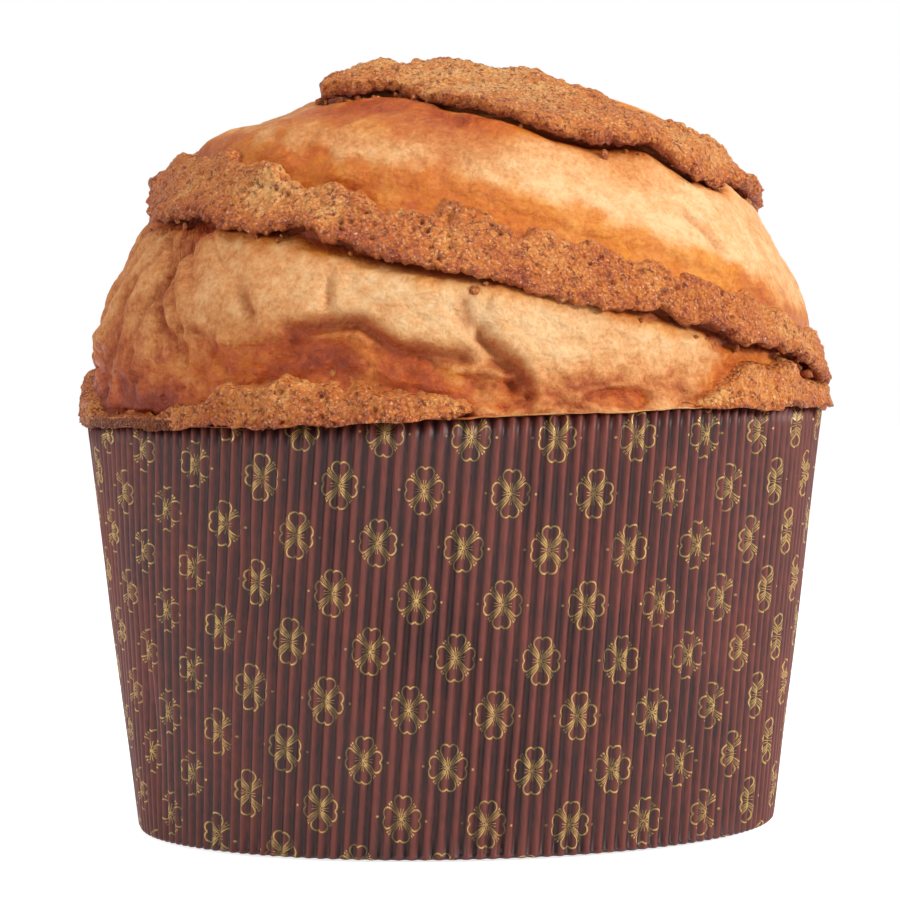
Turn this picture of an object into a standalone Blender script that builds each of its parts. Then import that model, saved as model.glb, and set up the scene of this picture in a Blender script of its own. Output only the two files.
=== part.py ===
"""Panettone in its tapered, fluted paper case. Metres, +Z up.

Three pieces: the loaf, the fluted wall with its hem folded in under the base, and the disc
glued on that hem. The front of the object faces -Y. The origin is under the middle of the
widest ring of the dome.
"""

import math

import bpy

# Paper case
CASE_HEIGHT = 0.0947
RIM_RADIUS = 0.0853
BASE_RADIUS = 0.0733
BASE_CORNER = 0.0014
FLUTE_PITCH = 0.00295
FLUTE_DEPTH = 0.0009
LINER_SET_IN = 0.0013
HEM_THICKNESS = 0.0012
HEM_INNER_RADIUS = 0.058
HEM_EDGE_SLOPE = 0.0006
DISC_THICKNESS = 0.0010
LEAN = 0.0125

# Loaf
GAP = 0.0003
DOME_RADIUS = 0.0860
DOME_CENTRE_HEIGHT = CASE_HEIGHT + 0.004
TOTAL_HEIGHT = 0.1784
TOPPING_HEIGHT = 0.0024
DOME_RISE = TOTAL_HEIGHT - TOPPING_HEIGHT - DOME_CENTRE_HEIGHT
LEDGE_RADIUS = RIM_RADIUS + 0.0004
LOAF_FOOT_CORNER = 0.0040
# The dome rose unevenly: how far it stands out from an even dome on each side, in mm, at an
# elevation in degrees.
LEFT_SWELL = (
    (-3, -0.5), (5, -1.0), (12, -0.4), (18, -0.3), (25, -1.6), (37, -1.2), (42, 0.5), (49, 1.2),
    (53, 0.0), (57, -2.5), (62, -3.2), (68, -3.0), (73, -1.2), (80, -0.5), (90, -0.5),
)
RIGHT_SWELL = (
    (-3, -0.3), (2, -2.2), (8, -2.6), (14, -2.2), (20, -1.8), (26, -2.6), (33, -2.8), (38, -2.6),
    (44, -0.2), (49, 0.3), (55, -1.2), (60, -1.6), (67, -1.8), (75, -2.8), (82, -2.2), (90, -0.5),
)
LOAF_SEGMENTS = 60
DOME_RINGS = 22

# The baked topping splits into two arms that wind down the dome. Each station is
# (azimuth from the front, elevation on the dome, half width), in degrees.
ARMS = (
    (
        (-70, 66, 7), (-30, 72, 10), (0, 70, 12), (20, 59, 12), (40, 53, 9), (60, 48, 8),
        (83, 44, 7), (110, 38, 7), (150, 29, 7), (190, 22, 7), (230, 14, 6), (270, 6, 6),
        (300, 0, 4), (330, 1, 7), (352, -1, 5), (368, -5, 3),
    ),
    (
        (-245, 68, 6), (-200, 63, 8), (-150, 56, 7), (-110, 49, 7), (-80, 42, 6), (-60, 40.5, 7),
        (-33, 36, 6.5), (-10, 31, 7.5), (6, 28.5, 8), (25, 23, 6.5), (42, 18, 7), (55, 11, 10),
        (75, 8, 11), (100, 2, 8), (125, -5, 4),
    ),
)
TOPPING_EDGE = 0.35
CROWN_ELEVATION = 76.0
CROWN_FADE = 7.0

CASE_COLOUR = (0.085, 0.030, 0.026)
LOAF_COLOUR = (0.72, 0.42, 0.18)
DISC_COLOUR = (0.060, 0.024, 0.020)


def clear_scene():
    for thing in list(bpy.data.objects):
        bpy.data.objects.remove(thing, do_unlink=True)


def smooth_step(x):
    x = min(1.0, max(0.0, x))
    return x * x * (3.0 - 2.0 * x)


def wall_radius(z):
    return BASE_RADIUS + (RIM_RADIUS - BASE_RADIUS) * z / CASE_HEIGHT


def material(name, colour, roughness):
    made = bpy.data.materials.new(name)
    made.use_nodes = True
    shader = made.node_tree.nodes["Principled BSDF"]
    shader.inputs["Base Color"].default_value = (*colour, 1.0)
    shader.inputs["Roughness"].default_value = roughness
    return made


def lean_over(mesh):
    """The soft case leans a little, about the height where the dome is widest."""
    for vertex in mesh.vertices:
        vertex.co.x += LEAN * (vertex.co.z - DOME_CENTRE_HEIGHT)


def turned(name, profile, segments, collection):
    """A closed solid turned round Z from a profile that runs down its outer side."""
    line = bpy.data.meshes.new(name + "_profile")
    links = [(i, i + 1) for i in range(len(profile) - 1)]
    line.from_pydata([(r, 0.0, z) for r, z in profile], links, [])
    obj = bpy.data.objects.new(name, line)
    collection.objects.link(obj)
    screw = obj.modifiers.new("Turn", "SCREW")
    screw.steps = segments
    screw.render_steps = segments
    screw.use_merge_vertices = True
    screw.merge_threshold = 0.00005
    bpy.context.view_layer.update()
    solid = bpy.data.meshes.new_from_object(obj.evaluated_get(bpy.context.evaluated_depsgraph_get()))
    obj.modifiers.clear()
    obj.data = solid
    bpy.data.meshes.remove(line)
    return obj


def station_at(arm, azimuth):
    """(elevation, half width) of an arm at this azimuth, eased between its stations."""
    for (a0, e0, w0), (a1, e1, w1) in zip(arm, arm[1:]):
        if a0 <= azimuth <= a1:
            t = (azimuth - a0) / (a1 - a0)
            return e0 + (e1 - e0) * t, w0 + (w1 - w0) * t
    return None


def level_in(table, x):
    """The value of a two-column table at x, straight between its rows."""
    for (x0, y0), (x1, y1) in zip(table, table[1:]):
        if x <= x1:
            return y0 + (y1 - y0) * max(0.0, x - x0) / (x1 - x0)
    return table[-1][1]


def swell(azimuth, elevation):
    """How far the dome stands out from an even one here, in metres, both angles in degrees."""
    rightward = math.sin(math.radians(azimuth))
    left = level_in(LEFT_SWELL, elevation) * (1.0 - rightward)
    right = level_in(RIGHT_SWELL, elevation) * (1.0 + rightward)
    return (left + right) / 2000.0


def topping(azimuth, elevation):
    """Thickness of the baked topping at a place on the dome, both angles in degrees."""
    thickest = smooth_step((elevation - CROWN_ELEVATION) / CROWN_FADE)
    for arm in ARMS:
        for turn in (-360.0, 0.0, 360.0):
            station = station_at(arm, azimuth + turn)
            if station is None:
                continue
            middle, half = station
            across = abs(elevation - middle) / half
            thickest = max(thickest, smooth_step((1.0 - across) / TOPPING_EDGE))
    return thickest * TOPPING_HEIGHT


def loaf_profile():
    inside = LINER_SET_IN + GAP
    foot = HEM_THICKNESS + DISC_THICKNESS + 2.0 * GAP
    points = []
    for ring in range(DOME_RINGS + 1):
        elevation = math.radians(90.0 * (1.0 - ring / DOME_RINGS))
        radius = DOME_RADIUS * math.cos(elevation) if ring else 0.0
        points.append((radius, DOME_CENTRE_HEIGHT + DOME_RISE * math.sin(elevation)))
    points += [
        (DOME_RADIUS - 0.0002, CASE_HEIGHT + 0.0018),
        (LEDGE_RADIUS, CASE_HEIGHT + GAP),
        (RIM_RADIUS - inside, CASE_HEIGHT + GAP),
        (wall_radius(foot + LOAF_FOOT_CORNER) - inside, foot + LOAF_FOOT_CORNER),
        (wall_radius(foot) - inside - LOAF_FOOT_CORNER, foot),
        (0.0, foot),
    ]
    return points


def make_loaf(collection):
    loaf = turned("bread", loaf_profile(), LOAF_SEGMENTS, collection)
    for vertex in loaf.data.vertices:
        x, y, z = vertex.co
        if z < DOME_CENTRE_HEIGHT - 0.0001:
            continue
        elevation = math.asin(min(1.0, (z - DOME_CENTRE_HEIGHT) / DOME_RISE))
        azimuth = math.degrees(math.atan2(x, -y))
        lift = topping(azimuth, math.degrees(elevation)) + swell(azimuth, math.degrees(elevation))
        radius = math.hypot(x, y)
        if radius > 0.0:
            outward = lift * math.cos(elevation) / radius
            vertex.co.x += x * outward
            vertex.co.y += y * outward
        vertex.co.z += lift * math.sin(elevation)
    lean_over(loaf.data)
    loaf.data.shade_smooth()
    loaf.data.materials.append(material("crust", LOAF_COLOUR, 0.55))
    return loaf


def make_case_wall(collection):
    """Fluted wall: a section with a crest and a hollow for each flute, carried down to the hem."""
    flutes = round(math.pi * (RIM_RADIUS + BASE_RADIUS) / FLUTE_PITCH)
    columns = 2 * flutes
    hem_top = HEM_THICKNESS
    bottom_inside = wall_radius(hem_top) - LINER_SET_IN
    # (radius on a crest, height, share of the flute's depth that a hollow has there)
    section = (
        (RIM_RADIUS, CASE_HEIGHT, 1.0),
        (wall_radius(BASE_CORNER), BASE_CORNER, 1.0),
        (BASE_RADIUS - BASE_CORNER, 0.0, 0.0),
        (HEM_INNER_RADIUS, 0.0, 0.0),
        (HEM_INNER_RADIUS + HEM_EDGE_SLOPE, hem_top, 0.0),
        (bottom_inside, hem_top, 0.0),
        (RIM_RADIUS - LINER_SET_IN, CASE_HEIGHT, 0.0),
    )
    points = []
    for column in range(columns):
        angle = 2.0 * math.pi * column / columns
        for radius, height, share in section:
            reach = radius - FLUTE_DEPTH * share * (column % 2)
            points.append((reach * math.sin(angle), -reach * math.cos(angle), height))
    count = len(section)
    faces = []
    for column in range(columns):
        here, after = column * count, (column + 1) % columns * count
        for k in range(count):
            above = (k + 1) % count
            faces.append((here + k, here + above, after + above, after + k))
    mesh = bpy.data.meshes.new("case_wall")
    mesh.from_pydata(points, [], faces)
    lean_over(mesh)
    wall = bpy.data.objects.new("case_wall", mesh)
    collection.objects.link(wall)
    mesh.materials.append(material("case_paper", CASE_COLOUR, 0.6))
    return wall


def make_case_disc(collection):
    low = HEM_THICKNESS + GAP
    radius = wall_radius(low) - LINER_SET_IN - GAP
    profile = ((0.0, low + DISC_THICKNESS), (radius, low + DISC_THICKNESS), (radius, low), (0.0, low))
    disc = turned("case_disc", profile, LOAF_SEGMENTS, collection)
    lean_over(disc.data)
    disc.data.materials.append(material("disc_paper", DISC_COLOUR, 0.7))
    return disc


def main():
    clear_scene()
    collection = bpy.data.collections.new("panettone")
    bpy.context.scene.collection.children.link(collection)
    make_loaf(collection)
    make_case_wall(collection)
    make_case_disc(collection)


main()
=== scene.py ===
import math
import bpy
import numpy as np
from mathutils import Matrix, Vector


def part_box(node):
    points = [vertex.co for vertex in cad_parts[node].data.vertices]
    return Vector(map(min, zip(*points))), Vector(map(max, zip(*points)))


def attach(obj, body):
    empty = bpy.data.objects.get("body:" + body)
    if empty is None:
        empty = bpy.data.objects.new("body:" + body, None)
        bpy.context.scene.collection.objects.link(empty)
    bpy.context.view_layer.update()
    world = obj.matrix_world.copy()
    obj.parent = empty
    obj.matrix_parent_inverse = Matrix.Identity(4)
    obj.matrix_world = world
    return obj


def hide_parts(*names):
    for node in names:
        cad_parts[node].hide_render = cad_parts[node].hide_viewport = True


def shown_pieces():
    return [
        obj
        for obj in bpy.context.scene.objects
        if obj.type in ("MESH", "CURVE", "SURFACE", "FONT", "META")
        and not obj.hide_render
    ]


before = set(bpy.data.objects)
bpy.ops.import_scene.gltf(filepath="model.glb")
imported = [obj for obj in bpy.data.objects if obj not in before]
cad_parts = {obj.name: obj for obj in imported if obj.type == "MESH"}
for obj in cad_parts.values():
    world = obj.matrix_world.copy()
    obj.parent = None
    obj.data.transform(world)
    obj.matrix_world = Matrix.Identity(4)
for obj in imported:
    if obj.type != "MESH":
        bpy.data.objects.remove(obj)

# A panettone in its fluted paper case. Metres, front towards -Y.
# Azimuth is measured from the front towards +X and elevation up the dome, both in degrees.
scene = bpy.context.scene
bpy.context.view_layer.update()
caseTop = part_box("case_wall")[1][2]
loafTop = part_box("bread")[1][2]

dome = {
    "radius": 0.0860,
    "centreHeight": caseTop + 0.004,
    "rise": loafTop - caseTop - 0.0059,
    "lean": 0.0125,
    "rimFade": (16, 18),    # the dip of the rim fades out below this elevation, over these degrees
    # how far each side stands out from an even dome: elevation, mm
    "leftSwell": (
        (-3, -0.5), (5, -1.0), (12, -0.4), (18, -0.3), (25, -1.6), (37, -1.2), (42, 0.5), (49, 1.2),
        (53, 0.0), (57, -2.5), (62, -3.2), (68, -3.0), (73, -1.2), (80, -0.5), (90, -0.5),
    ),
    "rightSwell": (
        (-3, -0.3), (2, -2.2), (8, -2.6), (14, -2.2), (20, -1.8), (26, -2.6), (33, -2.8), (38, -2.6),
        (44, -0.2), (49, 0.3), (55, -1.2), (60, -1.6), (67, -1.8), (75, -2.8), (82, -2.2), (90, -0.5),
    ),
    # the rim of the case is not level: azimuth, height over the nominal rim
    "rimSag": (
        (-180, 0), (-88, 0), (-62, -0.0014), (-30, -0.0016), (-12, -0.0008), (14, 0), (32, 0.0006),
        (58, 0.0006), (90, 0), (180, 0),
    ),
}

# station: azimuth, upper edge, lower edge, thickness in mm, how far the lower edge lifts in mm
arms = {
    "capCrust": (
        (-72, 76, 70, 2.0, 1.0), (-60, 82, 66.5, 3.4, 2.4), (-50, 88, 64.5, 3.6, 2.8),
        (-40, 93, 64.5, 3.4, 2.6), (-27, 96, 66, 3.0, 1.6), (-16, 98, 64.5, 2.8, 0.8),
        (-6, 98, 61.5, 2.8, 1.2), (9, 97, 52.8, 2.8, 1.2), (21, 95, 46.6, 2.8, 1.6),
        (30, 90, 44.8, 2.8, 1.2), (43, 76, 44.8, 2.8, 1.4), (53, 66, 39.5, 2.8, 1.6),
        (64, 58, 37.9, 2.4, 1.8), (69, 54, 40.5, 0.6, 0.4), (73, 53, 38.2, 2.8, 2.6),
        (84, 51, 37.6, 3.0, 3.4), (93, 48, 35, 2.6, 2.4), (110, 44, 31, 2.5, 1.5),
        (150, 36, 22, 2.5, 1.2), (190, 29, 15, 2.5, 1.2), (230, 20, 8, 2.4, 1.0), (262, 11, 0, 2.2, 0.6),
        (276, 3.6, -2.5, 1.2, 0.1), (286, 0.8, -2.6, 0.8, 0), (296, 0.0, -2.7, 0.7, 0),
        (306, 0.0, -2.7, 0.7, 0), (314, 1.0, -2.7, 1.0, 0.2), (322, 2.6, -2.6, 1.8, 0.6),
        (328, 4.5, -2.6, 2.4, 0.8), (334, 6.4, -2.6, 2.6, 0.8), (342, 6.9, -2.6, 2.6, 0.8),
        (351, 4.2, -2.6, 2.4, 0.8), (358, 1.4, -2.6, 2.0, 0.6), (365, -1.2, -2.8, 1.2, 0.2),
    ),
    "bandCrust": (
        (-245, 74, 62, 2.2, 0.6), (-200, 71, 55, 2.5, 1.2), (-150, 63, 49, 2.5, 1.2),
        (-122, 56, 44.5, 2.6, 1.6), (-106, 50.5, 41, 2.6, 2.6), (-94, 47.5, 38.6, 2.6, 3.6),
        (-86, 47, 37.4, 2.2, 2.4), (-79, 48, 36.5, 2.2, 0.8), (-68, 47.5, 34, 2.6, 0.8),
        (-60, 46.9, 32.6, 2.6, 0.8), (-52, 45.8, 31.5, 2.6, 0.8), (-45, 44.8, 31, 2.6, 1.0),
        (-38, 43, 30, 2.6, 1.0), (-33, 41.6, 29, 2.6, 0.8), (-27, 40.4, 28.3, 2.6, 0.8),
        (-20, 38.9, 25.9, 2.5, 1.2), (-10, 37.6, 22.5, 2.4, 1.2), (-2, 37.8, 20.0, 2.3, 1.1),
        (5, 35.9, 19.1, 2.2, 1.0), (14, 31.6, 17.3, 2.2, 0.9), (23, 28.4, 15.0, 2.1, 0.6),
        (33, 25.8, 12.6, 2.2, 0.6), (41, 23.4, 10.2, 2.4, 0.9), (46, 21.4, 8.4, 2.5, 1.4),
        (51, 19.8, 7.6, 2.6, 1.6), (56, 18.1, 7.4, 2.6, 1.6), (64, 14.8, 6.0, 2.8, 1.4),
        (76, 12.5, 3.0, 2.6, 1.2), (92, 9.5, 0, 2.6, 1.0), (110, 5.5, -2.8, 2.4, 0.8),
        (128, 0.5, -2.6, 1.6, 0.4),
    ),
    "rimCrust": (
        (35, -1.6, -2.8, 1.0, 0.2), (40, 0.8, -2.8, 1.8, 0.4), (46, 4.6, -2.8, 2.6, 0.6),
        (52, 7.0, -2.9, 2.8, 0.8), (60, 6.6, -2.9, 2.6, 0.6), (68, 4.8, -2.9, 2.2, 0.4),
        (78, 2.4, -2.9, 2.0, 0.3), (90, 0, -2.8, 1.6, 0.2),
    ),
}


def srgb(red, green, blue):
    # a colour as a paint chip gives it, 0 to 255, made linear
    out = []
    for value in (red, green, blue):
        share = value / 255
        out.append(share / 12.92 if share <= 0.04045 else ((share + 0.055) / 1.055) ** 2.4)
    return tuple(out)


def smooth(value):
    value = np.clip(value, 0.0, 1.0)
    return value * value * (3 - 2 * value)


# repeatable noise on points in metres
def lotOf(ix, iy, iz, salt):
    mixed = (ix * 374761393 + iy * 668265263 + iz * 1103515245 + salt * 1274126177) & 0xffffffff
    mixed = ((mixed ^ (mixed >> 13)) * 1274126177) & 0xffffffff
    mixed = ((mixed ^ (mixed >> 16)) * 668265263) & 0xffffffff
    return ((mixed ^ (mixed >> 15)) & 0xffffff) / 16777215.0


def softNoise(points, size, salt):
    # smooth, from -1 to 1, with lumps about one size across
    scaled = points / size
    whole = np.floor(scaled).astype(np.int64)
    part = scaled - whole
    part = part * part * (3 - 2 * part)
    total = 0.0
    for dx in (0, 1):
        for dy in (0, 1):
            for dz in (0, 1):
                weight = (
                    (part[:, 0] if dx else 1 - part[:, 0])
                    * (part[:, 1] if dy else 1 - part[:, 1])
                    * (part[:, 2] if dz else 1 - part[:, 2])
                )
                total = total + weight * lotOf(whole[:, 0] + dx, whole[:, 1] + dy, whole[:, 2] + dz, salt)
    return total * 2 - 1


def layeredNoise(points, size, layers, salt):
    total = 0.0
    strength = 1.0
    for layer in range(layers):
        total = total + softNoise(points, size, salt + layer) * strength
        size, strength = size / 2.03, strength * 0.5
    return total


def grains(points, size, salt):
    # distance to the nearest grain's middle in grain sizes, and that grain's own lot from 0 to 1
    scaled = points / size
    whole = np.floor(scaled).astype(np.int64)
    near = np.full(len(points), 9.0)
    lot = np.zeros(len(points))
    for dx in (-1, 0, 1):
        for dy in (-1, 0, 1):
            for dz in (-1, 0, 1):
                cx, cy, cz = whole[:, 0] + dx, whole[:, 1] + dy, whole[:, 2] + dz
                gap = np.sqrt(
                    (cx + lotOf(cx, cy, cz, salt) - scaled[:, 0]) ** 2
                    + (cy + lotOf(cx, cy, cz, salt + 1) - scaled[:, 1]) ** 2
                    + (cz + lotOf(cx, cy, cz, salt + 2) - scaled[:, 2]) ** 2
                )
                closer = gap < near
                near = np.where(closer, gap, near)
                lot = np.where(closer, lotOf(cx, cy, cz, salt + 3), lot)
    return near, lot


def addPrimitive(name, operator, **settings):
    if bpy.context.mode != "OBJECT":
        bpy.ops.object.mode_set(mode="OBJECT")
    bpy.ops.object.select_all(action="DESELECT")
    operator(**settings)
    piece = bpy.context.object
    piece.name = name
    piece.data.name = name
    return piece


def pointsOf(piece):
    flat = np.zeros(len(piece.data.vertices) * 3)
    piece.data.vertices.foreach_get("co", flat)
    return flat.reshape(-1, 3)


def movePoints(piece, points):
    piece.data.vertices.foreach_set("co", points.astype(np.float32).ravel())
    piece.data.update()


def inEditMode(piece, *steps):
    bpy.ops.object.select_all(action="DESELECT")
    piece.select_set(True)
    bpy.context.view_layer.objects.active = piece
    bpy.ops.object.mode_set(mode="EDIT")
    bpy.ops.mesh.select_all(action="SELECT")
    for step in steps:
        step()
    bpy.ops.object.mode_set(mode="OBJECT")


def mergeDoubles():
    bpy.ops.mesh.remove_doubles(threshold=0.000002)


def normalsOut():
    bpy.ops.mesh.normals_make_consistent(inside=False)


def flipFaces():
    bpy.ops.mesh.flip_normals()


def smoothAll(piece):
    piece.data.polygons.foreach_set("use_smooth", [True] * len(piece.data.polygons))


def storeColour(piece, name, channels):
    layer = piece.data.attributes.new(name, "FLOAT_COLOR", "POINT")
    values = np.ones((len(piece.data.vertices), 4), np.float32)
    for index, channel in enumerate(channels):
        values[:, index] = np.clip(channel, 0, 1)
    layer.data.foreach_set("color", values.ravel())


def onDome(azimuth, elevation, out):
    # azimuth and elevation in degrees, out in metres over the dome
    az, el = np.radians(azimuth), np.radians(elevation)
    flat = np.stack([np.cos(el) * np.sin(az), -np.cos(el) * np.cos(az), np.sin(el)], axis=1)
    level = np.degrees(np.arcsin(np.clip(np.sin(el), -1, 1)))
    rightward = np.sin(az) * np.sign(np.cos(el))
    swell = 0.0
    for side, share in (("leftSwell", (1 - rightward) / 2), ("rightSwell", (1 + rightward) / 2)):
        heights, lifts = zip(*dome[side])
        swell = swell + np.interp(level, heights, lifts) * share / 1000
    out = np.asarray(out) + swell
    size = np.array([dome["radius"], dome["radius"], dome["rise"]])
    normal = flat / size
    normal /= np.linalg.norm(normal, axis=1)[:, None]
    points = flat * size + normal * out[:, None]
    points[:, 2] += dome["centreHeight"]
    points[:, 0] += dome["lean"] * points[:, 2] - dome["lean"] * dome["centreHeight"]
    return points


def rimSag(azimuth):
    wrapped = (np.asarray(azimuth) + 180) % 360 - 180
    places, lifts = zip(*dome["rimSag"])
    return np.interp(wrapped, places, lifts)


def rimFollow(azimuth, elevation):
    # how far a place low on the dome goes down or up with the rim under it
    start, reach = dome["rimFade"]
    return rimSag(azimuth) * smooth((start - elevation) / reach)


def armHere(name, azimuth, turn):
    # which azimuths the arm covers on this turn, with its upper and lower edge there
    table = np.array(arms[name])
    shifted = azimuth + turn
    inside = (shifted >= table[0, 0]) & (shifted <= table[-1, 0])
    ends = np.minimum(shifted - table[0, 0], table[-1, 0] - shifted)
    upper = np.interp(shifted, table[:, 0], table[:, 1])
    lower = np.interp(shifted, table[:, 0], table[:, 2])
    return inside * smooth(ends / skin["armEnd"]), upper, lower


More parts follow.
